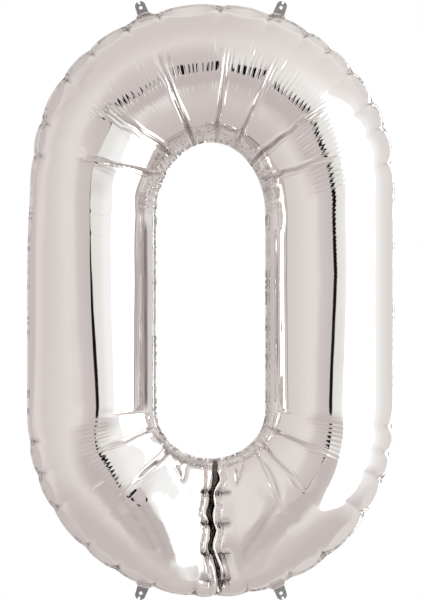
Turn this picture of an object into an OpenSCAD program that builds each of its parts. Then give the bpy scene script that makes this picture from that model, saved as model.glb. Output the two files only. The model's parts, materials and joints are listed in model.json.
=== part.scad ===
// Inflated foil number balloon, digit zero.
// The digit stands in the XZ plane with its face towards -Y, +Z is up, and the
// origin is the middle of its bounding box.  A foil ring is pinched shut at the
// foot of the digit by one welded seam, its two sheets are fused along the outer
// hem and along the hem of the hole, and four die-cut tabs fold on the outer hem.
// A lay-flat valve of two films stands inside the chamber behind the mouth.

/* [Digit] */
// Height of the inflated digit over its outer hem, without the tabs
digit_h = 864; // [780:2:1000]
// Width of the inflated digit over its outer hem
digit_w = 535; // [480:1:620]
// Depth of the inflated tube from front to back
tube_depth = 178; // [140:2:190]
// Height of the half ellipse that closes the outer hem at the top and at the foot
end_rise = 257; // [230:1:270]

/* [Hole] */
// Width of the centre hole over its hem
hole_w = 158; // [140:1:170]
// Height of the centre hole over its hem
hole_h = 460; // [420:2:480]
// Height of the half ellipse at the top of the hole
hole_top_rise = 106; // [80:1:120]
// Height of the half ellipse at the foot of the hole
hole_foot_rise = 70; // [60:1:90]

/* [Film and welds] */
// Thickness of one foil sheet where it bulges
film_t = 0.4; // [0.3:0.1:0.6]
// Width of the welded hems
hem_w = 5; // [4:0.5:7]
// Thickness of the welded hems, where both sheets are fused
hem_t = 0.8; // [0.8:0.1:1.4]
// Width of the welded seam that closes the ring at its foot
seam_w = 6; // [5:0.5:10]
// Distance of that seam from the middle of the digit
seam_x = 6; // [0:0.5:12]
// Distance over which the tube rounds off towards the seam
seam_round = 30; // [20:1:40]

/* [Hanging tabs] */
// Distance of each tab from the middle of the digit
tab_x = 97.6; // [85:0.1:120]
// Height of a tab above its fold
tab_h = 17; // [15:0.5:20]
// Width of a tab at its fold
tab_w = 16.4; // [15:0.2:18]
// Thickness of a tab
tab_t = 0.6; // [0.4:0.1:0.8]
// Diameter of the ribbon hole
tab_hole_d = 5.4; // [4:0.1:6]
// Height of the ribbon hole above the fold
tab_hole_z = 7.2; // [6.5:0.1:8]
// Width of the notch at the tip of a tab
notch_w = 3.6; // [2.5:0.1:5]
// Height of the hem's widening under each tab
pad_h = 5; // [4:0.5:7]

/* [Valve] */
// Width of the valve films
valve_w = 32; // [25:1:36]
// Length of the valve films
valve_l = 110; // [90:1:120]
// Thickness of one valve film
valve_t = 0.3; // [0.2:0.1:0.4]
// Width of the unwelded mouth in the hem
mouth_w = 20; // [12:1:24]
// Height of the slit that the mouth leaves between the sheets
mouth_gap = 0.24; // [0.2:0.02:0.3]
// Turn of the valve from straight down, around the foot of the digit
valve_turn = -11; // [-16:1:-8]

/* [Hidden] */
$fn = 48;

// Steps along each quarter of the ring, and across half of the tube's girth.
quarter_steps = 8;
girth_steps = 14;
// Shares of a foot quarter, measured from the seam, where the tube rounds off.
seam_shares = [0, 0.002, 0.0075, 0.022, 0.044, 0.073, 0.11];
// Half axes and centre heights of the outer hem and of the hole, over the hem.
outer_a = digit_w / 2;
outer_z = digit_h / 2 - end_rise;
hole_a = hole_w / 2;
hole_top_z = hole_h / 2 - hole_top_rise;
hole_foot_z = -(hole_h / 2 - hole_foot_rise);

// Length of a foot quarter along the middle of the tube.
foot_quarter = PI / 8 * (outer_a + hole_a + end_rise + hole_foot_rise);

// Clearance of every fold, and radius of the round bead on its axis.
fold_gap = 0.6;
bead_r = 0.35;

// Fractions of a foot quarter from the seam to the side of the digit.
foot_shares = concat(seam_shares,
    [for (i = [1 : quarter_steps]) 0.11 + 0.89 * i / quarter_steps]);

// A point of a hem line.  q runs from 0 at the seam to 1 at the side, x0 is
// where the line starts, and side is -1 for the left half and 1 for the right.
function foot_point(a, rise, z, x0, side, q) =
    let (e0 = asin(side * x0 / a), e = e0 + (90 - e0) * q)
    [side * a * sin(e), z - rise * cos(e)];
function top_point(a, rise, z, side, q) =
    [side * a * cos(90 * q), z + rise * sin(90 * q)];

// One hem line from the seam's right edge round to its left edge.  grow moves
// it outwards from its own ellipses, and edge is its distance from the seam.
function hem_line(a, top_rise, top_z, foot_rise, foot_z, grow, edge) = concat(
    [for (q = foot_shares)
        foot_point(a + grow, foot_rise + grow, foot_z, seam_x + edge, 1, q)],
    [for (i = [0 : quarter_steps])
        top_point(a + grow, top_rise + grow, top_z, 1, i / quarter_steps)],
    [for (i = [quarter_steps - 1 : -1 : 0])
        top_point(a + grow, top_rise + grow, top_z, -1, i / quarter_steps)],
    [for (i = [len(foot_shares) - 1 : -1 : 0])
        foot_point(a + grow, foot_rise + grow, foot_z, seam_x - edge, -1,
                   foot_shares[i])]);
function outer_line(grow, edge = seam_w / 2) =
    hem_line(outer_a, end_rise, outer_z, end_rise, -outer_z, grow, edge);
function hole_line(grow, edge = seam_w / 2) =
    hem_line(hole_a, hole_top_rise, hole_top_z, hole_foot_rise, hole_foot_z,
             grow, edge);

// Chamber edges of the two hems, station by station around the ring.
chamber_outer = outer_line(-hem_w);
chamber_inner = hole_line(hem_w);
stations = len(chamber_outer);

// Distance of a station from the seam along the middle of the tube.
function from_seam(i) =
    let (n = len(foot_shares), k = min(i, stations - 1 - i))
    k < n ? foot_shares[k] * foot_quarter : foot_quarter;
// Half depth of the tube's outer surface there.
function half_depth(i) =
    let (s = min(from_seam(i), seam_round) / seam_round)
    max(hem_t / 2 + 0.1, tube_depth / 2 * sqrt(1 - pow(1 - s, 2)));

// The point at girth angle g of station i, with the sheet's face moved inwards.
function tube_point(i, g, inset) =
    let (o = chamber_outer[i], h = chamber_inner[i], middle = (o + h) / 2,
         a = norm(h - o) / 2, across = (h - o) / (2 * a),
         at = middle - across * (a - inset) * cos(g))
    [at[0], -(half_depth(i) - inset) * sin(g), at[1]];

// The front sheet: its outer face, its inner face, and the strips that join them.
module front_sheet() {
    ring = girth_steps + 1;
    layer = stations * ring;
    points = [for (inset = [0, film_t]) for (i = [0 : stations - 1])
        for (j = [0 : girth_steps]) tube_point(i, 180 * j / girth_steps, inset)];
    outside = [for (i = [0 : stations - 2]) for (j = [0 : girth_steps - 1])
        let (p = i * ring + j) [p, p + ring, p + ring + 1, p + 1]];
    inside = [for (f = outside) [for (k = [3 : -1 : 0]) f[k] + layer]];
    feet = [for (i = [0 : stations - 2]) let (p = i * ring, q = p + ring - 1)
        each [[p, p + layer, p + layer + ring, p + ring],
              [q, q + ring, q + ring + layer, q + layer]]];
    last = (stations - 1) * ring;
    ends = [for (j = [0 : girth_steps - 1]) let (k = last + j)
        each [[j, j + 1, j + 1 + layer, j + layer],
              [k, k + layer, k + 1 + layer, k + 1]]];
    polyhedron(points, concat(outside, inside, feet, ends), convexity = 6);
}

// A flat shape drawn in the digit's plane, with its thickness centred on it.
module flat(t) {
    rotate([90, 0, 0]) linear_extrude(t, center = true) children();
}

// Height of the outer hem line above the middle at distance x, and its lean there.
function hem_height(x) = outer_z + end_rise * sqrt(1 - pow(x / outer_a, 2));
function hem_lean(x) =
    atan2(x / pow(outer_a, 2), (hem_height(x) - outer_z) / pow(end_rise, 2));

// Frame of a place on the outer hem: +Z points straight out of the digit.
module at_hem(x, end) {
    mirror([0, 0, end < 0 ? 1 : 0])
        translate([x, 0, hem_height(x)]) rotate([0, hem_lean(x), 0]) children();
}

// The hem's widening under a tab, drawn in the plane of the digit.
module tab_pad(side, end) {
    turn = side * hem_lean(tab_x);
    translate([side * tab_x, end * hem_height(tab_x)])
        rotate(end > 0 ? -turn : 180 + turn)
            polygon([[-tab_w, -hem_w / 2], [tab_w, -hem_w / 2],
                     [tab_w / 2, pad_h], [-tab_w / 2, pad_h]]);
}

module outer_hem() {
    color("gainsboro") difference() {
        flat(hem_t) difference() {
            union() {
                polygon(outer_line(0));
                for (side = [-1, 1]) for (end = [-1, 1]) tab_pad(side, end);
            }
            polygon(chamber_outer);
        }
        at_mouth() translate([0, 0, hem_w / 2])
            cube([mouth_w, mouth_gap, 2 * hem_w], center = true);
    }
}

module hole_hem() {
    color("gainsboro") flat(hem_t) difference() {
        polygon(chamber_inner);
        polygon(hole_line(0));
    }
}

module foot_seam() {
    o = chamber_outer;
    h = chamber_inner;
    last = stations - 1;
    color("gainsboro") flat(hem_t) polygon([o[0], h[0], h[last], o[last]]);
}

module front_panel() { color("silver") front_sheet(); }
module back_panel() { color("silver") mirror([0, 1, 0]) front_sheet(); }

// One tab: a round-tipped plate with a ribbon hole and a notch, on a round bead.
module hanging_tab(side, end) {
    round_r = tab_w / 2 - 0.6;
    color("darkgray") at_hem(side * tab_x, end)
        translate([0, 0, pad_h + fold_gap]) {
            flat(tab_t) difference() {
                union() {
                    polygon([[-tab_w / 2, 0], [tab_w / 2, 0],
                             [round_r, tab_h - round_r], [-round_r, tab_h - round_r]]);
                    translate([0, tab_h - round_r]) circle(round_r);
                }
                translate([0, tab_hole_z]) circle(d = tab_hole_d);
                translate([0, tab_h - 3]) {
                    circle(d = notch_w);
                    translate([-notch_w / 2, 0]) square([notch_w, tab_h]);
                }
            }
            rotate([0, 90, 0]) cylinder(h = tab_w, r = bead_r, center = true);
        }
}

// Frame of the valve: origin on its fold, +Z points from the mouth inwards.
module at_mouth() {
    translate([0, 0, -outer_z]) rotate([0, 180 - valve_turn, 0])
        translate([0, 0, end_rise]) mirror([0, 0, 1]) children();
}
module at_valve() { at_mouth() translate([0, 0, hem_w + 4 * fold_gap]) children(); }

module valve_back_film() {
    color("lightblue") at_valve() {
        translate([-valve_w / 2, mouth_gap / 2, 0]) cube([valve_w, valve_t, valve_l]);
        rotate([0, 90, 0]) cylinder(h = valve_w, r = bead_r, center = true);
    }
}

module valve_front_film() {
    color("lightblue") at_valve() translate([0, 0, 2 * fold_gap])
        translate([-valve_w / 2, -mouth_gap / 2 - valve_t, 0])
            cube([valve_w, valve_t, valve_l - 2 * fold_gap]);
}

front_panel();
back_panel();
outer_hem();
hole_hem();
foot_seam();
hanging_tab(-1, 1);  // tab_top_left
hanging_tab(1, 1);  // tab_top_right
hanging_tab(-1, -1);  // tab_foot_left
hanging_tab(1, -1);  // tab_foot_right
valve_back_film();
valve_front_film();
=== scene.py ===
import json
import math
import bmesh
import bpy
import numpy as np
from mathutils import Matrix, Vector


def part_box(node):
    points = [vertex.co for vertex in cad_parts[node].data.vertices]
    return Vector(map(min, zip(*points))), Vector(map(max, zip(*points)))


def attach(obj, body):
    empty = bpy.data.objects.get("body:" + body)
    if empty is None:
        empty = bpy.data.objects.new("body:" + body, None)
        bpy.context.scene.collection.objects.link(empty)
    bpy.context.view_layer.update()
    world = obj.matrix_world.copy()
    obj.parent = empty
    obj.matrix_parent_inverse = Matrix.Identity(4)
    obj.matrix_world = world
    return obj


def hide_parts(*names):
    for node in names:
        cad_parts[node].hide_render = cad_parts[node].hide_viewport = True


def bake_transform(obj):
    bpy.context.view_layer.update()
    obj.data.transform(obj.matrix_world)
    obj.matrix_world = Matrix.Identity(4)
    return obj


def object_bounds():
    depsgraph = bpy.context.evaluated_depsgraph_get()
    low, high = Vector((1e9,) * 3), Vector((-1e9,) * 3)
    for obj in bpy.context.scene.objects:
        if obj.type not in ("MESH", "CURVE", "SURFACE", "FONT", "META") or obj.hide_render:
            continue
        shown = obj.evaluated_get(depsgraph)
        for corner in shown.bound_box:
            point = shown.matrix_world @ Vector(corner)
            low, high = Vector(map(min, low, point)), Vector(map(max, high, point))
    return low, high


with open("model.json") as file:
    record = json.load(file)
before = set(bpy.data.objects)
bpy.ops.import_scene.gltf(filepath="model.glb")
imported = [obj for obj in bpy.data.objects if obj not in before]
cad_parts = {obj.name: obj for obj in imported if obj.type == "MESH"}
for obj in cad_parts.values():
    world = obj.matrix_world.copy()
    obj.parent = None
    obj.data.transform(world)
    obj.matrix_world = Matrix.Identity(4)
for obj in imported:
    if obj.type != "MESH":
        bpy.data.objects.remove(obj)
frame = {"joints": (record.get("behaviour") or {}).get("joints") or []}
cad_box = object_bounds()

# ---------------------------------------------------------------- sizes, in metres
# A "place" runs round the ring: 0 at the foot seam's right edge, 1 and 2 at the foot and
# the top of the right side, 3 at the top, 4 and 5 on the left side, 6 at the seam again.
# A "girth angle" runs over the tube: 0 at the outer hem, 90 on the crest, 180 at the hole.
# A "share" is the girth angle over 180 degrees.
panel_low, panel_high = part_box("front_panel")
hole_low, hole_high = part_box("hole_hem")
seam_low, seam_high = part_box("foot_seam")
DEPTH = -panel_low[1]
SEAM_X = (seam_low[0] + seam_high[0]) / 2
SEAM_HALF = (seam_high[0] - seam_low[0]) / 2
END_RISE = 0.252
HOLE_TOP_RISE = 0.111
HOLE_FOOT_RISE = 0.075
LAP = 0.0033
HEM_W = 0.005
HEM_HALF = 0.0004
# A tab's film, and the heights at which it is cut, below and above the hinge.
TAB_HALF = 0.0003
FOLD_CUTS = (-0.0016, -0.0012, -0.0009, -0.0006, -0.0003, 0.0, 0.0003, 0.0007)
# A hem line: half its width, then rise and start height of its top arc and of its foot arc.
OUTER = (panel_high[0] + LAP, END_RISE + LAP, panel_high[2] - END_RISE,
         END_RISE + LAP, panel_low[2] + END_RISE)
HOLE = (hole_high[0], HOLE_TOP_RISE, hole_high[2] - HOLE_TOP_RISE,
        HOLE_FOOT_RISE, hole_low[2] + HOLE_FOOT_RISE)
OUTER_EDGE = (panel_high[0] + HEM_W, END_RISE + HEM_W, OUTER[2], END_RISE + HEM_W, OUTER[4])
HOLE_EDGE = (HOLE[0] - HEM_W, HOLE_TOP_RISE - HEM_W, HOLE[2], HOLE_FOOT_RISE - HEM_W, HOLE[4])

# Every random draw in the script starts from one of these.
SEEDS = {"closing": 53, "front_foil": 7, "back_foil": 19, "outer_hem": 31, "hole_hem": 37, "foot_weld": 41}

# The closed groove over the foot seam wanders, and short tucks break its pleats.
SEAM_WANDER_Z = (-0.425, -0.400, -0.389, -0.368, -0.356, -0.330, -0.318, -0.300, -0.275, -0.256, -0.235)
SEAM_WANDER_X = (0.007, 0.006, 0.004, -0.002, -0.006, -0.004, -0.007, -0.008, -0.004, 0.000, 0.000)
TUCKS = (-0.440, -0.405, -0.366, -0.322, -0.277, -0.225)
# How far the right and the left lip lean over the groove, at heights up the seam.
CLOSING_STEPS = 22
CLOSING_LEAST, CLOSING_MOST = 0.0010, 0.0047
CLOSING_Z = np.linspace(-0.43, -0.23, CLOSING_STEPS)
CLOSING = np.random.default_rng(SEEDS["closing"]).uniform(CLOSING_LEAST, CLOSING_MOST, (2, CLOSING_STEPS))

# Stations round the ring, and rows over the girth; CREST_ROWS are radians from the crest.
FOOT_STATIONS, RIGHT_STATIONS, LEFT_STATIONS, TOP_STATIONS = 246, 190, 100, 276
LENS_ROWS, OUTER_ROWS, INNER_ROWS, RIM_ROWS = 8, 13, 18, 24
CREST_ROWS = (-0.16, -0.10, -0.055, -0.025, -0.0025, 0.0025, 0.025, 0.055, 0.10, 0.16)
RIM_START = math.radians(144)

# Notches of the outer hem, in degrees from the middle of the top or the foot.
TOP_RIGHT = (3, 19, 32, 41, 51, 63, 72, 84)
TOP_LEFT = (17, 28, 42, 54, 70, 81)
FOOT_RIGHT = (10, 25, 38, 57, 70, 79, 88)
FOOT_LEFT = (6, 19, 32, 44, 60, 72, 83)

# Long creases between the gores, the flat panels of the inner wall: place at the hole, place
# on the crest, share where the crease starts, and depth as a part of CREASE_DEPTH. Most of
# the places were worked out by a separate program from ends read off the photograph.
CREASE_DEPTH, FINE_CREASE_DEPTH = 0.0025, 0.0011
TOP_CREASES = ((2.32, 2.19, 0.42, 0.9), (2.51, 2.42, 0.36, 1.2), (2.72, 2.70, 0.36, 0.8),
               (2.95, 2.93, 0.34, 0.9), (3.19, 3.24, 0.33, 1.2), (3.43, 3.56, 0.33, 1.1),
               (3.62, 3.82, 0.38, 1.0))
RIGHT_CREASES = ((0.28, 0.28, 0.82, 0.8), (0.50, 0.37, 0.52, 0.6),
                 (0.60, 0.54, 0.46, 0.8), (0.79, 0.79, 0.43, 0.9))
LEFT_CREASES = ((5.18, 5.20, 0.48, 0.9), (5.51, 5.46, 0.54, 1.1), (5.67, 5.68, 0.80, 0.8))

# Panels that stand a little twisted: their two creases in TOP_CREASES, and the rise across.
TILTED_GORES = ((4, 5, -0.0045), (5, 6, 0.0060), (2, 3, 0.0015), (1, 2, 0.0020))

# Soft folds, most of them near the foot, seen from the front: three points of a curve (x, z),
# how far the fold fades to the left and to the right of its run, and its height. A height
# under 0 is a valley.
FOLDS = (((-0.108, -0.262), (-0.068, -0.325), (-0.048, -0.412), 0.014, 0.030, 0.0052),
         ((-0.187, 0.300), (-0.183, 0.320), (-0.163, 0.342), 0.004, 0.007, -0.0008),
         ((-0.233, 0.255), (-0.217, 0.276), (-0.191, 0.296), 0.007, 0.004, -0.0007),
         ((-0.140, -0.270), (-0.104, -0.318), (-0.066, -0.386), 0.007, 0.010, -0.0010),
         ((-0.122, -0.272), (-0.086, -0.318), (-0.054, -0.390), 0.006, 0.006, -0.0008),
         ((-0.150, -0.285), (-0.126, -0.318), (-0.092, -0.372), 0.010, 0.014, 0.0009),
         ((-0.126, -0.366), (-0.098, -0.360), (-0.066, -0.350), 0.006, 0.008, 0.0010),
         ((-0.066, -0.350), (-0.050, -0.362), (-0.056, -0.396), 0.006, 0.006, 0.0008),
         ((-0.098, -0.404), (-0.075, -0.398), (-0.052, -0.376), 0.006, 0.006, 0.0008),
         ((-0.040, -0.412), (-0.015, -0.402), (0.002, -0.416), 0.004, 0.006, 0.0008),
         ((0.100, -0.282), (0.078, -0.318), (0.028, -0.392), 0.016, 0.010, -0.0010),
         ((0.118, -0.300), (0.090, -0.338), (0.045, -0.402), 0.013, 0.016, 0.0007),
         ((0.088, -0.282), (0.066, -0.318), (0.026, -0.374), 0.007, 0.009, 0.0009),
         ((0.030, -0.2775), (0.052, -0.2750), (0.076, -0.2680), 0.0012, 0.0012, 0.0005),
         ((0.070, -0.226), (0.088, -0.252), (0.102, -0.292), 0.003, 0.004, -0.0022),
         ((0.030, -0.402), (0.060, -0.396), (0.100, -0.380), 0.004, 0.006, 0.0012),
         ((-0.074, -0.226), (-0.092, -0.246), (-0.108, -0.258), 0.0022, 0.0030, -0.0036),
         ((-0.052, -0.234), (-0.046, -0.246), (-0.040, -0.263), 0.0020, 0.0030, -0.0038),
         ((-0.036, -0.236), (-0.037, -0.248), (-0.040, -0.263), 0.0016, 0.0020, -0.0026),
         ((0.034, -0.238), (0.036, -0.252), (0.037, -0.268), 0.0016, 0.0022, -0.0028),
         ((0.046, -0.234), (0.043, -0.246), (0.038, -0.262), 0.0014, 0.0020, -0.0022))


# ---------------------------------------------------------------- the ring
def ring_line(line, place):
    """x and z along one hem line of the ring."""
    a, top_rise, top_z, foot_rise, foot_z = line
    side = np.where(place > 3, -1.0, 1.0)
    u = np.where(place > 3, 6 - place, place)
    start = np.arcsin(side * (SEAM_X + side * SEAM_HALF) / a)
    foot = start + (math.pi / 2 - start) * np.clip(u, 0, 1)
    top = math.pi / 2 * np.clip(u - 2, 0, 1)
    x = side * a * np.sin(foot) * np.cos(top)
    z = foot_z - foot_rise * np.cos(foot) + (top_z - foot_z) * np.clip(u - 1, 0, 1)
    return x, z + top_rise * np.sin(top)


def half_places(side_stations):
    """Stations up one half of the ring, closer together near the foot seam and the top."""
    foot = np.arange(1, FOOT_STATIONS + 1) / FOOT_STATIONS
    side = np.arange(1, side_stations + 1) / side_stations
    top = np.arange(1, TOP_STATIONS + 1) / TOP_STATIONS
    return np.concatenate([[0.0], foot * (0.5 + 0.5 * foot), 1 + side * (1.35 - 0.35 * side), 2 + top])


def ring_places():
    """Stations round the ring; the right tube has more, for its finer puckers."""
    return np.concatenate([half_places(RIGHT_STATIONS), 6 - half_places(LEFT_STATIONS)[-2::-1]])


def notch_places():
    """Places of the outer hem's notches, with the two ends at the foot seam."""
    right = [1 - (90 - d) / 90 for d in FOOT_RIGHT] + [3 - d / 90 for d in reversed(TOP_RIGHT)]
    left = [3 + d / 90 for d in TOP_LEFT] + [6 - d / 90 for d in reversed(FOOT_LEFT)]
    return np.array([0.0] + right + left + [6.0])


def smooth(value, low, high):
    """0 below low, 1 above high, and a smooth step between."""
    t = np.clip((value - low) / (high - low), 0, 1)
    return t * t * (3 - 2 * t)


def metres_along(line, place):
    """Distance round the ring along a hem line."""
    x, z = ring_line(line, place)
    return np.concatenate([[0.0], np.cumsum(np.hypot(np.diff(x), np.diff(z)))])


places = ring_places()
# The same place on both halves: 0 at the seam, 3 at the top.
half_place = np.minimum(places, 6 - places)
outer_run = metres_along(OUTER, places)
hole_run = metres_along(HOLE, places)
crest_run = (outer_run + hole_run) / 2
notches = notch_places()


def lens_facets():
    """For each station: girth angle of the lens facet's ridge, dip of the hem, notch nearness."""
    at = np.interp(notches, places, outer_run)
    k = np.clip(np.searchsorted(at, outer_run, side="right") - 1, 0, len(at) - 2)
    length = at[k + 1] - at[k]
    u = np.abs(2 * (outer_run - at[k]) / length - 1)
    near = np.minimum(outer_run - at[k], at[k + 1] - outer_run)
    widest = np.radians(np.interp(length, [0.03, 0.05, 0.09, 0.2], [25, 33, 38, 30]))
    pinched = math.radians(15)
    ridge = pinched + (widest - pinched) * (1 - u ** 2.4)
    notch_dip, longest_dip = 0.0042, 0.035
    dip = notch_dip * (1 - np.minimum(1, near / np.minimum(0.45 * length, longest_dip))) ** 2
    # The film draws the upper left corner in a little further.
    dip = dip + 0.007 * np.exp(-((places - 3.95) / 0.22) ** 2)
    return ridge, dip, near


ridge_angle, hem_dip, notch_near = lens_facets()


def crest_lean():
    """How far the tube leans at each station, in radians, and the girth angle of its crest."""
    x, z = ring_line(OUTER, places)
    left = np.interp(z, (-0.25, -0.16, -0.073, 0.0, 0.073), (0.03, 0.13, 0.07, 0.026, 0.0)) * (x < 0)
    right = np.interp(z, (-0.25, -0.17, 0.05, 0.2), (0.0, 0.045, -0.045, 0.0)) * (x > 0)
    turn = (left + right) * smooth(np.abs(x), 0.10, 0.24) - 0.062 * smooth(z, 0.27, 0.37)
    return turn, math.pi / 2 + 0.68 * turn + 0.013 * np.clip(-x / 0.2, -1, 1)


lean, crest = crest_lean()


def seam_rows(rows):
    """Rows beside the foot seam: five of them close together at each tuck."""
    index = np.arange(len(rows))
    low, high = ring_line(OUTER, np.zeros(1))[1][0], ring_line(HOLE, np.zeros(1))[1][0]
    knots = list(index[:LENS_ROWS + 1]) + list(index[-RIM_ROWS - 1:])
    angles = [rows[i] for i in knots]
    spacing = 0.0125
    for height in TUCKS[1:-1]:
        angle = math.acos((low + high - 2 * height) / (high - low))
        middle = int(np.argmin(np.abs(rows - angle)))
        knots += [middle + i for i in range(-2, 3)]
        angles += [angle + spacing * i for i in range(-2, 3)]
    order = np.argsort(knots)
    return np.interp(index, np.array(knots)[order], np.array(angles)[order])


def girth_angles():
    """Girth angle of every row at every station: rows follow the lens ridge and the crest."""
    ridge = ridge_angle[:, None]
    near_crest = crest[:, None] + np.array(CREST_ROWS)
    lens = ridge * np.arange(LENS_ROWS) / LENS_ROWS
    outer = ridge + (near_crest[:, :1] - ridge) * np.arange(OUTER_ROWS) / OUTER_ROWS
    inner = near_crest[:, -1:] + (RIM_START - near_crest[:, -1:]) * np.arange(1, INNER_ROWS) / INNER_ROWS
    rim = RIM_START + (math.pi - RIM_START) * np.arange(RIM_ROWS + 1) / RIM_ROWS
    rim = np.broadcast_to(rim, (len(places), len(rim)))
    rows = np.concatenate([lens, outer, near_crest, inner, rim], 1)
    close = 1 - smooth(half_place, 0.10, 0.30)[:, None]
    return rows + close * (seam_rows(rows[0]) - rows)


girth = girth_angles()
share = girth / math.pi


def seam_profile(distance, height, side):
    """Share of the full depth at a distance from the foot seam: folded strips, then a dish."""
    if side > 0:
        at, depths = [0, 1.5, 3, 5, 12, 14.5], [0, 0.42, 0.60, 0.71, 0.60, 0.73]
    else:
        at, depths = [0, 1.5, 3.5, 8, 10, 14.5], [0, 0.42, 0.61, 0.68, 0.58, 0.73]
    mm = distance * 1000
    uneven = np.interp(height, CLOSING_Z, CLOSING[0] if side > 0 else CLOSING[1]) / CLOSING_MOST
    k = np.clip(np.searchsorted(TUCKS, height) - 1, 0, len(TUCKS) - 2)
    low, high = np.array(TUCKS)[k], np.array(TUCKS)[k + 1]
    pillow = np.sin(np.clip((height - low) / (high - low), 0, 1) * math.pi) ** 0.6
    strips = np.interp(mm * (1.22 - 0.28 * pillow) * (0.70 + 0.65 * uneven), at, depths)
    dish_mm, dish_drop = 115, 0.27
    out = np.clip((mm - at[-1]) / dish_mm, 0, 1)
    dish = 1 - dish_drop * (1 - out) ** 1.6
    return np.where(mm < at[-1], np.minimum(strips, dish), dish)


def tube_points(place, angle):
    """Points of the tube before any crease: (3,) + the shape of place and angle."""
    ox, oz = ring_line(OUTER, place)
    hx, hz = ring_line(HOLE, place)
    length = np.hypot(ox - hx, oz - hz)
    dip = np.interp(place, places, hem_dip) * (1 - smooth(angle, 0.2, 1.1))
    x = (ox + hx) / 2 + (ox - hx) / 2 * np.cos(angle) - dip * (ox - hx) / length
    z = (oz + hz) / 2 + (oz - hz) / 2 * np.cos(angle) - dip * (oz - hz) / length
    side = np.where(place < 1, 1.0, np.where(place > 5, -1.0, 0.0))
    away = np.where(side == 0, 1.0, np.maximum(side * (x - SEAM_X) - SEAM_HALF, 0))
    depth = np.where(side > 0, seam_profile(away, z, 1),
                     np.where(side < 0, seam_profile(away, z, -1), 1.0))
    # Near the seam the film is stretched flat between the two hems.
    left = side < 0
    tight = np.where(left, 0.79, 0.68)
    loose = smooth(away, np.where(left, 0.05, 0.02), np.where(left, 0.17, 0.15))
    bulge = 1 - tight * (1 - loose)
    bow = np.clip(np.sin(angle), 0, 1) ** bulge
    lips = smooth(away, 0, 0.0015) * (1 - smooth(away, 0.002, 0.009)) * bow
    right_lip, left_lip = (np.interp(z, CLOSING_Z, lip) for lip in CLOSING)
    closing = np.where(side > 0, right_lip, left_lip)
    wander = np.interp(z, SEAM_WANDER_Z, SEAM_WANDER_X) * (1 - smooth(away, 0.010, 0.032)) * bow
    x = x - side * closing * lips + np.abs(side) * wander * smooth(away, 0, 0.002)
    return np.stack([x, -DEPTH * depth * bow, z])


def whole_tube():
    """Points of the front sheet before any crease, at every station and row."""
    return tube_points(np.repeat(places[:, None], girth.shape[1], 1), girth)


def crease_place(crease):
    """Place of a crease at every point's share of the girth."""
    at_hole, on_crest = crease[:2]
    return on_crest + (at_hole - on_crest) * (share - 0.5) / 0.5


def between(first, last):
    """Places of two creases, each point's part of the way across, and whether it is inside."""
    a, b = crease_place(first), crease_place(last)
    f = (places[:, None] - a) / (b - a)
    return a, b, f, (f > 0) & (f < 1)


def flatten_lenses(P):
    """The lens facets are nearly flat between the hem and their ridge."""
    f = np.arange(LENS_ROWS + 1) / LENS_ROWS
    seam, ridge = P[:, :, :1], P[:, :, LENS_ROWS:LENS_ROWS + 1]
    chord = seam + (ridge - seam) * f
    P[:, :, :LENS_ROWS + 1] += 0.92 * (chord - P[:, :, :LENS_ROWS + 1])


def flatten_gores(P, creases):
    """Between two creases the inner wall stands nearly flat."""
    amount = 0.90 * smooth(share, 0.32, 0.48) * (1 - 0.8 * smooth(share, 0.90, 0.99))
    for first, last in zip(creases[:-1], creases[1:]):
        a, b, f, inside = between(first, last)
        chord = tube_points(a, girth) * (1 - f) + tube_points(b, girth) * f
        P += np.where(inside, amount, 0) * (chord - P)


def gore_tilt():
    """A few panels between creases are twisted a little, so they step where they meet."""
    h = np.zeros_like(girth)
    window = smooth(share, 0.40, 0.50) * (1 - smooth(share, 0.80, 0.95))
    for first, last, rise in TILTED_GORES:
        _, _, f, inside = between(TOP_CREASES[first], TOP_CREASES[last])
        h += np.where(inside, rise * (f - 0.5), 0) * window
    return h


def crest_ridge():
    """Sharp ridges along the crest: down the left tube, where they fade away, and at the foot."""
    z = ring_line(OUTER, places)[1]
    rise = np.interp(z, (-0.12, 0.0, 0.10, 0.17), (0.0, 0.016, 0.046, 0.10))
    rise = rise * smooth(places, 3.57, 3.63) * (places < 5)
    for height in (0.153, 0.118):
        rise = rise * (1 - 0.8 * np.exp(-((z - height) / 0.0025) ** 2))
    rise = rise * (1 - 0.7 * np.exp(-((places - 3.82) / 0.02) ** 2))
    rise = rise + 0.075 * smooth(places, 0.28, 0.36) * (1 - smooth(places, 0.80, 0.90))
    rise = rise + 0.10 * smooth(places, 5.44, 5.47) * (1 - smooth(places, 5.62, 5.80))
    rise = rise + 0.070 * smooth(places, 5.04, 5.08) * (1 - smooth(places, 5.20, 5.26))
    off = np.abs((girth - crest[:, None]) * DEPTH)
    reach = 0.010
    return -rise[:, None] * off * np.exp(-off / reach)


def normals(P):
    """Unit normals of the grid, out of the digit."""
    along = np.gradient(P, axis=1)
    over = np.gradient(P, axis=2)
    n = np.cross(along, over, axis=0)
    return n / (np.linalg.norm(n, axis=0) + 1e-12)


def groove(offset, width):
    """A crease across: a sharp valley with low lips."""
    q = np.abs(offset) / width
    return -np.exp(-q) + 0.45 * np.exp(-((q - 2.6) / 1.1) ** 2)


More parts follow.
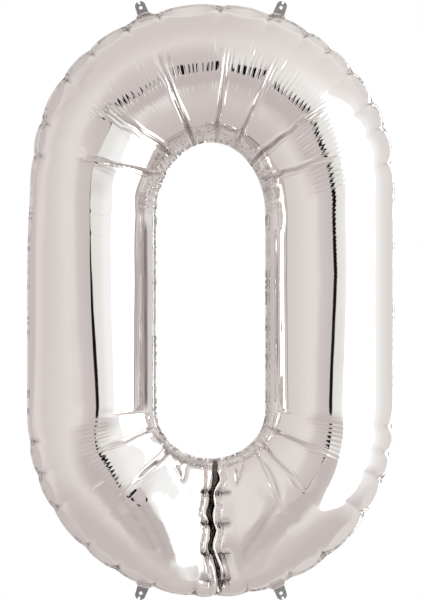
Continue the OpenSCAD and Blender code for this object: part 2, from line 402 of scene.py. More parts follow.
def crease_height(creases, rng):
    """Valleys along the long creases, each with two finer ones that join it, and painted shade along them.
    """
    fine_width = 0.0012
    run = outer_run[:, None] * (0.5 + 0.5 * np.cos(girth)) + hole_run[:, None] * (0.5 - 0.5 * np.cos(girth))
    slope = np.gradient(run, axis=0) / np.gradient(places)[:, None]
    h = np.zeros_like(girth)
    mark = np.zeros_like(girth)
    for crease in creases:
        start, depth = crease[2:]
        wander = np.interp(share, np.linspace(0, 1, 16), rng.standard_normal(16) * 0.004)
        offset = (places[:, None] - crease_place(crease) - wander) * slope
        window = smooth(share, start, start + 0.14) * (1 - 0.7 * smooth(share, 0.93, 0.99))
        width = 0.0011 + 0.0010 * smooth(share, 0.45, 0.8)
        h += depth * CREASE_DEPTH * window * groove(offset, width)
        deep = smooth(share, start + 0.06, start + 0.22)
        mark = np.maximum(mark, depth * 0.42 * window * deep * np.exp(-(offset / width) ** 2))
        for side in (-1, 1):
            shift = side * rng.uniform(0.0028, 0.0050) * (1 - smooth(share, 0.42, 0.80))
            begin, end = start + rng.uniform(0.02, 0.10), rng.uniform(0.56, 0.70)
            fine = smooth(share, begin, begin + 0.06) * (1 - smooth(share, end, end + 0.08))
            h += depth * FINE_CREASE_DEPTH * fine * groove(offset - shift, fine_width)
            mark = np.maximum(mark, depth * 0.30 * fine * np.exp(-((offset - shift) / fine_width) ** 2))
    return h, mark


def pucker_height(rng):
    """Fine straight puckers over the crest of the arcs: narrow valleys, flat in between."""
    h = np.zeros_like(girth)
    clear_of_seam = 0.012
    valley_width, valley_depth = 0.0009, 0.00026
    at = clear_of_seam
    while at < crest_run[-1] - clear_of_seam:
        place = np.interp(at, crest_run, places)
        u = min(place, 6 - place)
        pitch = rng.uniform(0.0056, 0.0084)
        strength = rng.uniform(0.5, 1.1)
        begin, end = rng.uniform(0.32, 0.38), rng.uniform(0.55, 0.62)
        tip = 1.1 * math.sin(at / 0.019) + rng.uniform(-0.7, 0.7)
        if 3 < place < 5:
            # None on the left tube, but for a few where the last long crease starts.
            last_crease = math.exp(-((place - 3.82) / 0.03) ** 2)
            strength *= 1 - smooth(place, 3.57, 3.63) * (1 - 0.6 * last_crease)
        if 1.03 < u < 2.03:
            strength *= 0.8 * smooth(u, 1.45, 1.9) if place < 3 else 0.0
            begin, end = 0.42, 0.54
            tip = 0.0
            pitch = rng.uniform(0.0058, 0.0070)
        elif u <= 1.03:
            strength *= smooth(u, 0.66, 0.86) if place < 3 else smooth(u, 0.47, 0.54)
            begin, end = 0.41, 0.58
            pitch = rng.uniform(0.0056, 0.0068)
            tip *= 0.4
            if u > 0.97:
                strength *= 0.3
        near = np.abs(crest_run - at) < 1.5 * pitch
        off = crest_run[near] - at
        valley = -np.exp(-(off / valley_width) ** 2)
        tilt = np.where((off >= 0) & (off < pitch), tip * (off / pitch - 0.5), 0)
        s = share[near]
        window = smooth(s, begin, begin + 0.12) * (1 - smooth(s, end - 0.08, end + 0.05))
        h[near] += valley_depth * strength * (valley + tilt)[:, None] * window
        at += pitch
    return h


def lean_height():
    """The tube leans a little: its crest moves across, in on the sides and out at the top."""
    off = girth - math.pi / 2
    return (lean * DEPTH)[:, None] * 0.5 * np.sin(2 * off) * np.cos(off) ** 2


def quilt_height(rng):
    """Gathers and small buckles where the inner wall meets the hem of the hole, and painted shade between
    them.
    """
    h = np.zeros_like(girth)
    mark = np.zeros_like(girth)
    clear_of_seam = 0.006
    at = clear_of_seam
    while at < hole_run[-1] - clear_of_seam:
        place = np.interp(at, hole_run, places)
        u = min(place, 6 - place)
        pitch = rng.uniform(0.0045, 0.0095)
        strength = rng.uniform(0.5, 1.2)
        begin = rng.uniform(0.80, 0.86)
        cell, phase = rng.uniform(0.026, 0.042), rng.uniform(0, 2 * math.pi)
        if 1.03 < u < 1.90:
            strength *= 0.03
        elif u <= 1.03:
            strength *= 0.5
            begin += 0.05
        elif u < 2.45:
            strength *= 1.6 * smooth(u, 1.96, 2.14)
            pitch = rng.uniform(0.0065, 0.0115)
            begin = rng.uniform(0.77, 0.87)
        near = np.abs(hole_run - at) < pitch
        bump = np.cos(np.clip((hole_run[near] - at) / pitch, -0.5, 0.5) * math.pi) ** 2
        s = share[near]
        window = smooth(s, begin, begin + 0.04) * (1 - smooth(s, 0.975, 0.998))
        waves = 1 + 0.75 * np.sin((1 - s) * 2 * math.pi / cell + phase)
        h[near] += 0.0016 * strength * bump[:, None] * window * waves
        # Painted shade in the hollows between the gathers.
        dark = strength * (1 - bump)[:, None] * window * (0.4 + 0.6 * (waves < 0.8))
        mark[near] = np.maximum(mark[near], 0.30 * dark)
        at += pitch
    return h, mark


def bend_line(points, steps=14):
    """Points along the curve through a fold's first and last points, drawn to its middle one."""
    a, b, c = (np.array(p) for p in points)
    middle = 2 * b - (a + c) / 2
    t = np.linspace(0, 1, steps)[:, None]
    return a * (1 - t) ** 2 + 2 * middle * t * (1 - t) + c * t ** 2


def fold_height(P):
    """The soft folds of FOLDS, and painted shade along those that are valleys."""
    h = np.zeros_like(girth)
    mark = np.zeros_like(girth)
    for *points, left, right, height in FOLDS:
        line = bend_line(points)
        nearest = np.full(girth.shape, 1.0)
        signed = np.full(girth.shape, 1.0)
        along = np.zeros_like(girth)
        for i, (a, b) in enumerate(zip(line[:-1], line[1:])):
            dx, dz = b - a
            length = math.hypot(dx, dz)
            t = np.clip(((P[0] - a[0]) * dx + (P[2] - a[1]) * dz) / length ** 2, 0, 1)
            away = np.hypot(P[0] - a[0] - t * dx, P[2] - a[1] - t * dz)
            side = dx * (P[2] - a[1]) - dz * (P[0] - a[0])
            closer = away < nearest
            nearest = np.where(closer, away, nearest)
            signed = np.where(closer, np.sign(side) * away, signed)
            along = np.where(closer, (i + t) / (len(line) - 1), along)
        # A wide fold has a blunt top, and a narrow one a sharp top.
        blunt = 0.004 if max(left, right) > 0.005 else 0.0010
        rounded = np.hypot(nearest, blunt) - blunt
        fade = np.where(signed > 0, np.exp(-rounded / left), np.exp(-rounded / right))
        ends = smooth(along, 0, 0.22) * (1 - smooth(along, 0.78, 1))
        h += height * fade * ends
        # Painted shade along a valley fold.
        if height < 0:
            dark = min(0.5, -height * 140) * ends
            mark = np.maximum(mark, dark * np.exp(-(nearest / (0.0012 + 0.4 * blunt)) ** 2))
    return h, mark


def wall_fold_height(rng):
    """One long soft fold down each straight wall of the hole, broken where the arcs begin."""
    straight = smooth(half_place, 1.02, 1.08) * (1 - smooth(half_place, 1.88, 1.94))
    wander = np.interp(places, np.linspace(0, 6, 60), rng.standard_normal(60) * 0.004)
    off = (share - 0.845 - wander[:, None]) * math.pi * DEPTH
    return straight[:, None] * 0.0013 * groove(off, 0.0030)


def tuck_height():
    """Short tucks across the pleats beside the foot seam, and painted shade in them."""
    P = whole_tube()
    away = np.abs(P[0] - SEAM_X)
    tuck_depth, tuck_width, tuck_slope = 0.0042, 0.0016, 0.12
    h = np.zeros_like(girth)
    for middle in TUCKS[1:-1]:
        slant = middle + tuck_slope * (away - 0.012)
        h -= tuck_depth * np.exp(-np.abs(P[2] - slant) / tuck_width)
    h = h * (1 - smooth(away, 0.016, 0.026)) * smooth(away, 0.004, 0.007) * (half_place[:, None] < 0.6)
    # Painted shade in the tucks: the deeper, the darker.
    return h, np.clip(-h / 0.0040, 0, 0.6)


def painted_rim_shade():
    """Painted shade: dark bands where the film turns in to the hole, down both walls, and below at the
    left.
    """
    down_left = smooth(places, 4.02, 4.10) * (1 - smooth(places, 4.95, 5.0))
    down_right = smooth(places, 1.15, 1.30) * (1 - smooth(places, 1.70, 1.85))
    below_left = smooth(places, 5.25, 5.35) * (1 - smooth(places, 5.90, 5.94))
    off = share - 0.848
    band = 0.74 * np.exp(-(off / np.where(off < 0, 0.034, 0.012)) ** 2) + 0.14 * smooth(share, 0.76, 0.78)
    line = 0.66 * np.exp(-((share - 0.840) / 0.009) ** 2) + 0.08 * smooth(share, 0.76, 0.78)
    rim = 0.42 * smooth(share, 0.85, 0.875)
    return down_left[:, None] * band + down_right[:, None] * line + below_left[:, None] * rim


def swell_height(rng):
    """Slow unevenness of the film, less of it along the straight sides."""
    wave_count = 28
    h = np.zeros_like(girth)
    for _ in range(wave_count):
        wave = rng.uniform(0.05, 0.16)
        slant = rng.uniform(-0.5, 0.5)
        phase = rng.uniform(0, 2 * math.pi)
        h += np.sin(2 * math.pi * (crest_run[:, None] / wave + slant * share * 3) + phase) * wave
    straight = smooth(half_place, 1.0, 1.1) * (1 - smooth(half_place, 1.9, 2.0))
    highest = 0.0009
    return highest * h / np.abs(h).max() * (1 - 0.7 * straight[:, None])


def notch_height():
    """A short valley runs in from each notch, and painted shade along it."""
    window = 1 - smooth(girth, math.radians(14), math.radians(36))
    window = window * smooth(girth, 0.0, math.radians(4))
    valley_depth, valley_width, mark_width = 0.0034, 0.0026, 0.0022
    valley = np.exp(-notch_near[:, None] / valley_width) * window
    return -valley_depth * valley, 0.5 * np.exp(-(notch_near[:, None] / mark_width) ** 2) * window


def sheet_points(seed):
    """The inflated front sheet: (3, stations, rows), and the painted shade at each point."""
    rng = np.random.default_rng(seed)
    all_creases = (TOP_CREASES, RIGHT_CREASES, LEFT_CREASES)
    P = whole_tube()
    for creases in all_creases:
        flatten_gores(P, creases)
    flatten_lenses(P)
    n = normals(P)
    held = smooth(girth, 0, math.radians(4)) * (1 - smooth(girth, math.radians(178), math.pi))
    height = swell_height(rng) + pucker_height(rng) + lean_height() + wall_fold_height(rng)
    height += gore_tilt() + crest_ridge()
    mark = np.zeros_like(girth)
    parts = [notch_height(), quilt_height(rng), tuck_height(), fold_height(P)]
    parts += [crease_height(creases, rng) for creases in all_creases]
    parts.append((0, painted_rim_shade()))
    # The darkest painted shade of all parts is kept as the sheet's mark.
    for more, dark in parts:
        height += more
        mark = np.maximum(mark, dark)
    P = P + n * held * height
    P[1] = np.minimum(P[1], 0)
    P[1, :, 0] = 0
    P[1, :, -1] = 0
    return P, np.clip(mark * held, 0, 1)


# ---------------------------------------------------------------- mesh helpers
def new_object(name, data):
    made = bpy.data.objects.new(name, data)
    bpy.context.scene.collection.objects.link(made)
    return made


def grid_piece(name, P, flip=False, mark=None, closed=False):
    """A mesh of quads through a grid of points, (3, rows, columns), closed both ways if asked."""
    rows, columns = P.shape[1:]
    index = np.arange(rows * columns).reshape(rows, columns)
    if closed:
        index = np.pad(index, ((0, 1), (0, 1)), mode="wrap")
    a, b, c, d = index[:-1, :-1], index[1:, :-1], index[1:, 1:], index[:-1, 1:]
    quads = np.stack([a, d, c, b] if flip else [a, b, c, d], -1).reshape(-1, 4)
    mesh = bpy.data.meshes.new(name)
    mesh.vertices.add(rows * columns)
    mesh.vertices.foreach_set("co", P.transpose(1, 2, 0).astype(np.float32).ravel())
    mesh.loops.add(quads.size)
    mesh.loops.foreach_set("vertex_index", quads.astype(np.int32).ravel())
    mesh.polygons.add(len(quads))
    mesh.polygons.foreach_set("loop_start", np.arange(0, quads.size, 4, dtype=np.int32))
    mesh.polygons.foreach_set("use_smooth", np.ones(len(quads), bool))
    if mark is not None:
        painted_shade_and_edge = mesh.attributes.new("painted_shade_and_edge", "FLOAT", "POINT")
        painted_shade_and_edge.data.foreach_set("value", mark.astype(np.float32).ravel())
    mesh.update()
    mesh.validate()
    return new_object(name, mesh)


def film_strip(name, inner, outer, bend, half, columns=5):
    """A closed strip of welded film between two lines of (x, z); bend is its y at the outer line."""
    f = np.linspace(0, 1, columns)
    flat = inner[:, :, None] * (1 - f) + outer[:, :, None] * f
    y = bend[:, None] * f ** 1.5
    front = np.stack([flat[0], y - half, flat[1]])
    back = np.stack([flat[0], y + half, flat[1]])[:, :, ::-1]
    mark = np.broadcast_to(np.concatenate([f, f[::-1]]) ** 2, (len(bend), 2 * columns))
    return grid_piece(name, np.concatenate([front, back], 2), mark=mark, closed=True)


# ---------------------------------------------------------------- node helpers
def math_node(tree, operation, first, second=None):
    node = tree.nodes.new("ShaderNodeMath")
    node.operation = operation
    for socket, value in zip(node.inputs, (first, second)):
        if value is None:
            continue
        if isinstance(value, (int, float)):
            socket.default_value = value
        else:
            tree.links.new(value, socket)
    return node.outputs[0]


def scaled_node(tree, value, gain, base):
    """A value times gain, plus base."""
    product = math_node(tree, "MULTIPLY_ADD", value, gain)
    product.node.inputs[2].default_value = base
    return product


def step_node(tree, value, low, high):
    """0 below low, 1 above high, and a smooth step between."""
    node = tree.nodes.new("ShaderNodeMapRange")
    node.interpolation_type = "SMOOTHSTEP"
    tree.links.new(value, node.inputs["Value"])
    node.inputs["From Min"].default_value = low
    node.inputs["From Max"].default_value = high
    return node.outputs[0]


def mix_node(tree, factor, first, second):
    node = tree.nodes.new("ShaderNodeMix")
    node.data_type = "RGBA"
    for key, value in ((0, factor), (6, first), (7, second)):
        if isinstance(value, (tuple, float)):
            node.inputs[key].default_value = value
        else:
            tree.links.new(value, node.inputs[key])
    return node.outputs[2]


def noise_node(tree, scale, detail=2.0, stretch=None, turn=0.0):
    """Noise over the piece's own coordinates, stretched along one axis if asked."""
    place = tree.nodes.new("ShaderNodeTexCoord").outputs["Object"]
    if stretch:
        mapping = tree.nodes.new("ShaderNodeMapping")
        tree.links.new(place, mapping.inputs["Vector"])
        mapping.inputs["Scale"].default_value = stretch
        mapping.inputs["Rotation"].default_value = (0, turn, 0)
        place = mapping.outputs["Vector"]
    noise = tree.nodes.new("ShaderNodeTexNoise")
    tree.links.new(place, noise.inputs["Vector"])
    noise.inputs["Scale"].default_value = scale
    noise.inputs["Detail"].default_value = detail
    return noise.outputs["Fac"]


def bump_node(tree, height, distance, strength, below=None):
    node = tree.nodes.new("ShaderNodeBump")
    node.inputs["Distance"].default_value = distance
    node.inputs["Strength"].default_value = strength
    tree.links.new(height, node.inputs["Height"])
    if below is not None:
        tree.links.new(below, node.inputs["Normal"])
    return node.outputs["Normal"]


# ---------------------------------------------------------------- materials
def new_material(name):
    material = bpy.data.materials.new(name)
    material.use_nodes = True
    tree = material.node_tree
    return material, tree, tree.nodes["Principled BSDF"]


def foil_material():
    """Mirror foil: faint cloudiness, rolling lines, painted shade and a rougher face along the folds,
    creases and the hole's rim, fine orange peel.
    """
    material, tree, shader = new_material("foil")
    shader.inputs["Metallic"].default_value = 1
    cloud = noise_node(tree, 7.0, 3.0)
    tint = mix_node(tree, cloud, (0.90, 0.872, 0.862, 1), (0.945, 0.918, 0.91, 1))
    painted_shade_and_edge = tree.nodes.new("ShaderNodeAttribute")
    painted_shade_and_edge.attribute_name = "painted_shade_and_edge"
    # Painted shade: the base colour darkens towards near black by the mark each piece carries.
    tint = mix_node(tree, painted_shade_and_edge.outputs["Fac"], tint, (0.10, 0.085, 0.08, 1))
    tree.links.new(tint, shader.inputs["Base Color"])
    lines = noise_node(tree, 1.0, 2.0, (260, 260, 6))
    smudge = noise_node(tree, 24.0, 4.0)
    rough = scaled_node(tree, smudge, 0.035, 0.03)
    roughness_along_shade = math_node(tree, "MULTIPLY", painted_shade_and_edge.outputs["Fac"], 0.25)
    tree.links.new(math_node(tree, "ADD", rough, roughness_along_shade), shader.inputs["Roughness"])
    peel = bump_node(tree, noise_node(tree, 420.0, 2.0), 0.0001, 0.05)
    tree.links.new(bump_node(tree, lines, 0.0001, 0.03, peel), shader.inputs["Normal"])
    return material


def hem_material():
    """Heat-sealed foil: crimp dimples, a duller face, and dark marks where the film is cut."""
    material, tree, shader = new_material("hem")
    shader.inputs["Metallic"].default_value = 1
    place = tree.nodes.new("ShaderNodeTexCoord").outputs["Object"]
    dimples = tree.nodes.new("ShaderNodeTexVoronoi")
    dimples.inputs["Scale"].default_value = 620
    tree.links.new(place, dimples.inputs["Vector"])
    edge = tree.nodes.new("ShaderNodeAttribute")
    edge.attribute_name = "painted_shade_and_edge"
    specks = step_node(tree, noise_node(tree, 140.0, 2.0), 0.44, 0.54)
    groups = step_node(tree, noise_node(tree, 22.0, 3.0), 0.48, 0.58)
    specks = math_node(tree, "MULTIPLY", specks, groups)
    specks = math_node(tree, "MULTIPLY", specks, edge.outputs["Fac"])
    cloud = noise_node(tree, 60.0, 3.0)
    tint = mix_node(tree, cloud, (0.80, 0.77, 0.76, 1), (0.94, 0.91, 0.90, 1))
    tint = mix_node(tree, specks, tint, (0.05, 0.045, 0.042, 1))
    tree.links.new(tint, shader.inputs["Base Color"])
    rough = scaled_node(tree, cloud, 0.14, 0.05)
    tree.links.new(rough, shader.inputs["Roughness"])
    crimp = bump_node(tree, dimples.outputs["Distance"], 0.0003, 0.3)
    tree.links.new(bump_node(tree, cloud, 0.0004, 0.25, crimp), shader.inputs["Normal"])
    return material


def tab_material():
    """Flat silver film of the tabs with fine rolling lines; its base colour is a painted mid grey, painted
    shade for film seen mostly edge-lit.
    """
    material, tree, shader = new_material("tab")
    shader.inputs["Metallic"].default_value = 0.85
    cloud = noise_node(tree, 320.0, 3.0)
    tint = mix_node(tree, cloud, (0.26, 0.26, 0.265, 1), (0.42, 0.42, 0.425, 1))
    tree.links.new(tint, shader.inputs["Base Color"])
    rough = scaled_node(tree, cloud, 0.25, 0.28)
    tree.links.new(rough, shader.inputs["Roughness"])
    lines = noise_node(tree, 1.0, 2.0, (2200, 2200, 120), 0.36)
    tree.links.new(bump_node(tree, lines, 0.0002, 0.35), shader.inputs["Normal"])
    return material


def valve_material():
    """Clear polyethylene film with soft wrinkles."""
    material, tree, shader = new_material("valve")
    shader.inputs["IOR"].default_value = 1.51
    shader.inputs["Transmission Weight"].default_value = 0.9
    cloud = noise_node(tree, 90.0, 3.0)
    tint = mix_node(tree, cloud, (0.86, 0.89, 0.90, 1), (0.96, 0.97, 0.98, 1))
    tree.links.new(tint, shader.inputs["Base Color"])
    rough = scaled_node(tree, cloud, 0.20, 0.08)
    tree.links.new(rough, shader.inputs["Roughness"])
    wrinkles = noise_node(tree, 1.0, 3.0, (260, 260, 60))
    tree.links.new(bump_node(tree, wrinkles, 0.0005, 0.5), shader.inputs["Normal"])
    return material


def floor_material():
    """Pale painted floor."""
    material, tree, shader = new_material("floor")
    cloud = noise_node(tree, 3.0, 5.0)
    tint = mix_node(tree, cloud, (0.84, 0.82, 0.81, 1), (0.90, 0.88, 0.87, 1))
    tree.links.new(tint, shader.inputs["Base Color"])
    shader.inputs["Roughness"].default_value = 0.6
    tree.links.new(bump_node(tree, noise_node(tree, 160.0, 3.0), 0.001, 0.1),
              shader.inputs["Normal"])
    return material


# ---------------------------------------------------------------- pieces
def place_piece(piece, material, body, slot, *nodes):
    """Give a piece its finish, say what it rides on, and hide the CAD parts it stands for."""
    piece.data.materials.append(material)
    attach(piece, body)
    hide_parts(*nodes)


def foil_sheets(material):
    """Both sheets; the back one has its own random draws and faces the other way."""
    for name, node, back in (("front_foil", "front_panel", False), ("back_foil", "back_panel", True)):
        points, mark = sheet_points(SEEDS[name])
        if back:
            points[1] *= -1
        sheet = grid_piece(name, points, flip=back, mark=mark)
        place_piece(sheet, material, "envelope", "foil", node)


def pad_rise():
    """How far the hem widens into the four pads that carry the tabs."""
    pad_height, pad_half, pad_slope = 0.0046, 0.0137, 0.0055
    rise = np.zeros_like(places)
    x, z = ring_line(OUTER_EDGE, places)
    for joint in tab_joints:
        px, _, pz = joint["pos_m"]
        along = np.hypot(x - px, z - pz)
        near = np.sqrt(np.clip(along ** 2 - along.min() ** 2, 0, None))
        rise += pad_height * np.clip((pad_half - near) / pad_slope, 0, 1)
    return rise


def ripples(run, pitch, rng, low=-1):
    """Random heights from low to 1, one to every pitch along the hem, with straight lines between."""
    steps = np.arange(0, run[-1], pitch)
    return np.interp(run, steps, rng.uniform(low, 1, len(steps)))


def outer_hem(material):
    """The heat-sealed edge: scalloped between the notches, rippled, wider at the tabs."""
    rng = np.random.default_rng(SEEDS["outer_hem"])
    ox, oz = ring_line(OUTER, places)
    hx, hz = ring_line(HOLE, places)
    out = np.stack([ox - hx, oz - hz]) / np.hypot(ox - hx, oz - hz)
    inner = np.stack([ox, oz]) - out * (hem_dip + 0.0012)
    outer = np.stack(ring_line(OUTER_EDGE, places)) + out * (pad_rise() - 0.7 * hem_dip)
    ripple = ripples(outer_run, 0.004, rng)
    bend = 0.0007 - 0.0014 * np.exp(-notch_near / 0.004) + 0.0005 * ripple
    bend = bend * (1 - np.clip(pad_rise() / 0.002, 0, 1))
    place_piece(film_strip("sealed_edge", inner, outer, bend, HEM_HALF), material,
                "envelope", "hem", "outer_hem")


def hole_hem(material):
    """The heat-sealed edge of the hole, finely rippled."""
    rng = np.random.default_rng(SEEDS["hole_hem"])
    pitch = 0.003
    outer = np.stack(ring_line(HOLE, places))
    outer = outer * (1 + 0.0006 / np.hypot(*outer))
    ripple = ripples(hole_run, pitch, rng)
    inner = np.stack(ring_line(HOLE_EDGE, places))
    inner = inner * (1 + 0.0003 * ripples(hole_run, pitch, rng, low=0) / np.hypot(*inner))
    place_piece(film_strip("hole_edge", outer, inner, 0.0011 * ripple, HEM_HALF), material,
                "envelope", "hem", "hole_hem")


def foot_weld(material):
    """The weld across the foot, down in the groove between the two ends of the tube; its foil is painted
    dark as shade for the groove.
    """
    rng = np.random.default_rng(SEEDS["foot_weld"])
    overlap, overrun, rows = 0.0004, 0.001, 160
    rise = np.linspace(seam_low[2] - overrun, seam_high[2] + overrun, rows)
    left = np.stack([np.full_like(rise, seam_low[0] - overlap), rise])
    right = np.stack([np.full_like(rise, seam_high[0] + overlap), rise])
    f = np.linspace(0, 1, 7)
    flat = left[:, :, None] * (1 - f) + right[:, :, None] * f
    y = 0.0006 * np.sin(math.pi * f) * rng.uniform(-1, 1, (len(rise), 1))
    front = np.stack([flat[0], y - HEM_HALF, flat[1]])
    back = np.stack([flat[0], y + HEM_HALF, flat[1]])[:, :, ::-1]
    P = np.concatenate([front, back, front[:, :, :1]], 2)
    # Painted shade: the whole weld carries a mark of 0.85, which darkens the foil towards near black.
    weld = grid_piece("foot_weld", P, mark=np.full(P.shape[1:], 0.85))
    place_piece(weld, material, "envelope", "hem", "foot_seam")


def arc(radius, middle, degrees):
    """Points on an arc whose centre is on the tab's middle line, at a height above the fold."""
    return [(radius * math.cos(a), middle + radius * math.sin(a)) for a in np.radians(degrees)]


def tab_shape():
    """Outline of a tab and its ribbon hole, across and up from the fold; the tip is slotted."""
    fold_half, root = 0.0082, -0.0036
    slot_half, slot_end = 0.0018, 0.0140
    right = [(fold_half, root), (fold_half, 0.0)]
    right += arc(0.0076, 0.0094, np.arange(-8, 54, 4))
    right += [(0.0032, 0.0163), (slot_half, 0.0168), (slot_half, slot_end)]
    slot = arc(slot_half, slot_end, np.arange(-12, -180, -12))
    outline = right + slot + [(-x, y) for x, y in reversed(right)]
    return outline, arc(0.0027, 0.0072, np.arange(0, 360, 12))


def flat_tab(name):
    """Mesh of a flat tab with softened edges, lying across and up from its fold."""
    softened = 0.0001
    curve = bpy.data.curves.new(name, "CURVE")
    curve.dimensions = "2D"
    curve.fill_mode = "BOTH"
    curve.extrude = TAB_HALF - softened
    curve.bevel_depth = softened
    for points in tab_shape():
        spline = curve.splines.new("POLY")
        spline.points.add(len(points) - 1)
        for point, (x, y) in zip(spline.points, points):
            point.co = (x, y, 0, 1)
        spline.use_cyclic_u = True
    flat = new_object("flat", curve)
    mesh = bpy.data.meshes.new_from_object(flat.evaluated_get(bpy.context.evaluated_depsgraph_get()))
    bpy.data.objects.remove(flat)
    return mesh


def hanging_tab(joint, material):
    """One tab: it starts on the hem's pad, with its fold line where the pad ends."""
    body = joint["child"]
    across = joint["axis"]
    up = (-across[2], 0, across[0])
    mesh = flat_tab(body)
    shape = bmesh.new()
    shape.from_mesh(mesh)
    for height in FOLD_CUTS:
        bmesh.ops.bisect_plane(shape, geom=shape.verts[:] + shape.edges[:] + shape.faces[:],
                               plane_co=(0, height, 0), plane_no=(0, 1, 0))
    bmesh.ops.remove_doubles(shape, verts=shape.verts[:], dist=1e-6)
    for vertex in shape.verts:
        x, y, z = vertex.co
        # The film is thinner along its fold line, and its free part bows a little.
        crease = 0.00010 * math.exp(-((y + 0.0003) / 0.0003) ** 2)
        z -= math.copysign(crease, z)
        bow = 0.0003 * math.sin(x * 260) * min(max(y / 0.006, 0), 1)
        vertex.co = [joint["pos_m"][i] + across[i] * x + up[i] * y for i in range(3)]
        vertex.co.y -= z + bow
    bmesh.ops.recalc_face_normals(shape, faces=shape.faces[:])
    shape.to_mesh(mesh)
    shape.free()
    tab = new_object(body + "_film", mesh)
    tab.data.materials.clear()
    tab.data.materials.append(material)
    tab.visible_glossy = False
    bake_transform(tab)
    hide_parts(body)


def valve_films(material):
    """The valve's two films keep their CAD solids and get a clear finish."""
    for name in ("valve_back_film", "valve_front_film"):
        for slot in bpy.data.objects[name].material_slots:
            slot.material = material


tab_joints = [joint for joint in frame["joints"] if joint["name"].startswith("tab_")]
hem = hem_material()
foil = foil_material()
foil_sheets(foil)
outer_hem(hem)
hole_hem(hem)
foot_weld(foil)
tab_film = tab_material()
for tab_joint in tab_joints:
    hanging_tab(tab_joint, tab_film)
valve_films(valve_material())


# ---------------------------------------------------------------- studio
# How much of each colour the foil gives back.
FOIL_TINT = (0.93, 0.90, 0.89)


def linear(r, g, b):
    """A display colour, 0 to 255, as the light that gives it once the foil has mirrored it."""
    value = [((c / 255 + 0.055) / 1.055) ** 2.4 for c in (r, g, b)]
    return tuple(v / f for v, f in zip(value, FOIL_TINT)) + (1,)


# Tones of the room: degrees round from straight ahead, then red, green and blue. They were
# read off the photographed foil by the angle that it mirrors, and rounded.
ROOM = ((-180, 200, 190, 186), (-160, 194, 184, 182), (-145, 199, 189, 187),
        (-130, 212, 202, 199), (-115, 222, 212, 209), (-100, 218, 208, 205),
        (-92, 210, 202, 199), (-80, 213, 204, 201), (-60, 217, 210, 206),
        (-42, 226, 217, 214), (-30, 225, 216, 213), (-22, 208, 199, 196),
        (-8, 201, 190, 188), (3, 202, 191, 189), (5, 226, 222, 217), (16, 232, 229, 224),
        (26, 244, 242, 240), (84, 250, 249, 247), (95, 242, 239, 237), (105, 230, 226, 223),
        (120, 225, 219, 215), (145, 221, 213, 210), (165, 214, 207, 204), (180, 200, 190, 186))

# The same overhead and underfoot, by the angle from straight ahead.
OVERHEAD = ((0, 204, 194, 191), (20, 214, 204, 199), (45, 221, 212, 207), (75, 212, 202, 199),
            (105, 210, 200, 198), (122, 213, 204, 201), (140, 227, 222, 215),
            (165, 216, 209, 204), (180, 202, 192, 189))


def rounded_box(tree, azimuth, elevation, box, edge):
    """1 inside a box of directions with rounded corners, 0 outside, over a soft edge."""
    across, up, half_across, half_up = (math.radians(v) for v in box)
    total = None
    for value, middle, half in ((azimuth, across, half_across), (elevation, up, half_up)):
        off = math_node(tree, "DIVIDE", math_node(tree, "SUBTRACT", value, middle), half)
        off = math_node(tree, "POWER", math_node(tree, "ABSOLUTE", off), 4.0)
        total = off if total is None else math_node(tree, "ADD", total, off)
    total = math_node(tree, "POWER", total, 0.25)
    inside = step_node(tree, total, 1 - edge, 1 + edge)
    return math_node(tree, "SUBTRACT", 1.0, inside)


def room_ramp(tree, position, tones):
    """The tones as a colour ramp over a position from 0 to 1."""
    ramp = tree.nodes.new("ShaderNodeValToRGB")
    tree.links.new(position, ramp.inputs[0])
    first, last = tones[0][0], tones[-1][0]
    stops = ramp.color_ramp.elements
    stops[0].position, stops[1].position = 0, 1
    stops[0].color, stops[-1].color = linear(*tones[0][1:]), linear(*tones[-1][1:])
    for degrees, *colour in tones[1:-1]:
        stops.new((degrees - first) / (last - first)).color = linear(*colour)
    return ramp.outputs[0]


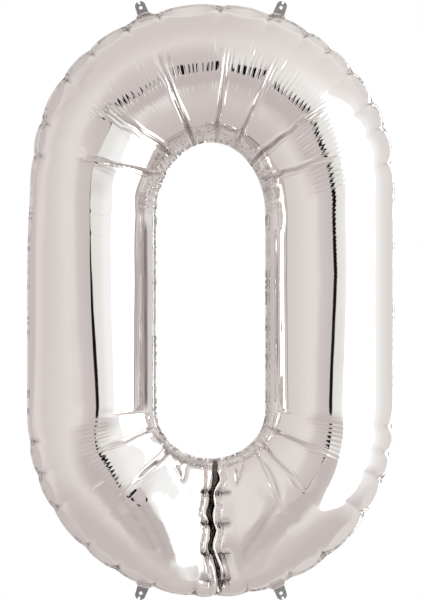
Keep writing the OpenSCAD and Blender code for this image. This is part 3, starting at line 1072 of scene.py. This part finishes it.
def studio():
    """A plain pale studio: a soft room, brighter above at the right, and a small dark opening."""
    world = bpy.data.worlds.new("studio")
    bpy.context.scene.world = world
    world.use_nodes = True
    tree = world.node_tree
    tree.nodes.clear()
    direction = tree.nodes.new("ShaderNodeTexCoord").outputs["Generated"]
    axes = tree.nodes.new("ShaderNodeSeparateXYZ")
    tree.links.new(direction, axes.inputs[0])
    x, y, z = axes.outputs
    ahead = math_node(tree, "MULTIPLY", y, -1.0)
    azimuth = math_node(tree, "ARCTAN2", x, ahead)
    elevation = math_node(tree, "ARCSINE", z)
    turn = math_node(tree, "ADD", math_node(tree, "DIVIDE", azimuth, 2 * math.pi), 0.5)
    level = room_ramp(tree, turn, ROOM)
    polar = math_node(tree, "ARCCOSINE", ahead)
    high = room_ramp(tree, math_node(tree, "DIVIDE", polar, math.pi), OVERHEAD)
    rise = step_node(tree, z, -0.25, 0.25)
    rightness = step_node(tree, x, -0.1, 0.75)
    upper = mix_node(tree, rightness, (1, 1, 1, 1), (1.17, 1.20, 1.19, 1))
    shade = mix_node(tree, rise, (0.87, 0.85, 0.85, 1), upper)
    far = mix_node(tree, 1.0, high, shade)
    far.node.blend_type = "MULTIPLY"
    steep = step_node(tree, math_node(tree, "ABSOLUTE", elevation), 0.26, 0.75)
    room = mix_node(tree, steep, level, far)
    shaded = rounded_box(tree, azimuth, elevation, (-3, -13, 34, 9), 0.5)
    room = mix_node(tree, shaded, room, linear(193, 182, 179))
    opening = rounded_box(tree, azimuth, elevation, (1.5, 4.5, 3.4, 8), 0.12)
    room = mix_node(tree, opening, room, (0.006, 0.005, 0.005, 1))
    light = tree.nodes.new("ShaderNodeBackground")
    tree.links.new(room, light.inputs[0])
    backdrop = tree.nodes.new("ShaderNodeBackground")
    backdrop.inputs[0].default_value = (1, 1, 1, 1)
    seen = tree.nodes.new("ShaderNodeLightPath").outputs["Is Camera Ray"]
    both = tree.nodes.new("ShaderNodeMixShader")
    tree.links.new(seen, both.inputs[0])
    tree.links.new(light.outputs[0], both.inputs[1])
    tree.links.new(backdrop.outputs[0], both.inputs[2])
    out = tree.nodes.new("ShaderNodeOutputWorld")
    tree.links.new(both.outputs[0], out.inputs[0])


def softbox():
    """A wide soft light ahead and to the right, with rounded soft edges."""
    light = bpy.data.lights.new("softbox", "AREA")
    light.shape = "RECTANGLE"
    width, height, brightness = 1.10, 1.66, 1.35
    light.size, light.size_y = width, height
    light.energy = brightness * math.pi * light.size * light.size_y
    light.use_nodes = True
    tree = light.node_tree
    sides = tree.nodes.new("ShaderNodeSeparateXYZ")
    tree.links.new(tree.nodes.new("ShaderNodeNewGeometry").outputs["Parametric"], sides.inputs[0])
    middle, half = math.degrees(0.5), math.degrees(0.47)
    mask = rounded_box(tree, sides.outputs[0], sides.outputs[1], (middle, middle, half, half), 0.05)
    tree.links.new(mask, tree.nodes["Emission"].inputs["Strength"])
    lamp = new_object("softbox", light)
    turn, distance, rise = math.radians(57), 1.05, -0.04
    lamp.location = (distance * math.sin(turn), -distance * math.cos(turn), rise)
    lamp.rotation_euler = Vector((-math.sin(turn), math.cos(turn), 0)).to_track_quat("-Z", "Y").to_euler()
    lamp.visible_camera = False


def floor():
    """A pale round floor below the balloon, left out of the foil's mirror image."""
    radius, gap = 1.5, 0.12
    mesh = bpy.data.meshes.new("floor")
    shape = bmesh.new()
    bmesh.ops.create_circle(shape, cap_ends=True, segments=96, radius=radius)
    shape.to_mesh(mesh)
    shape.free()
    disc = new_object("floor", mesh)
    disc.location = (0, 0, cad_box[0][2] - gap)
    disc.data.materials.append(floor_material())
    disc.visible_glossy = False


def camera():
    """Straight ahead, from far enough away for almost no perspective."""
    distance, view_height = 6.0, 0.8736
    middle_x, middle_z = 0.0015, 0.0007
    lens = bpy.data.cameras.new("camera")
    lens.sensor_fit = "VERTICAL"
    lens.sensor_height = 24
    lens.lens = lens.sensor_height * distance / view_height
    lens.clip_end = 50
    viewer = new_object("camera", lens)
    viewer.location = (middle_x, -distance, middle_z)
    viewer.rotation_euler = (math.pi / 2, 0, 0)
    bpy.context.scene.camera = viewer
    bpy.context.scene.view_settings.view_transform = "Standard"


studio()
softbox()
floor()
camera()
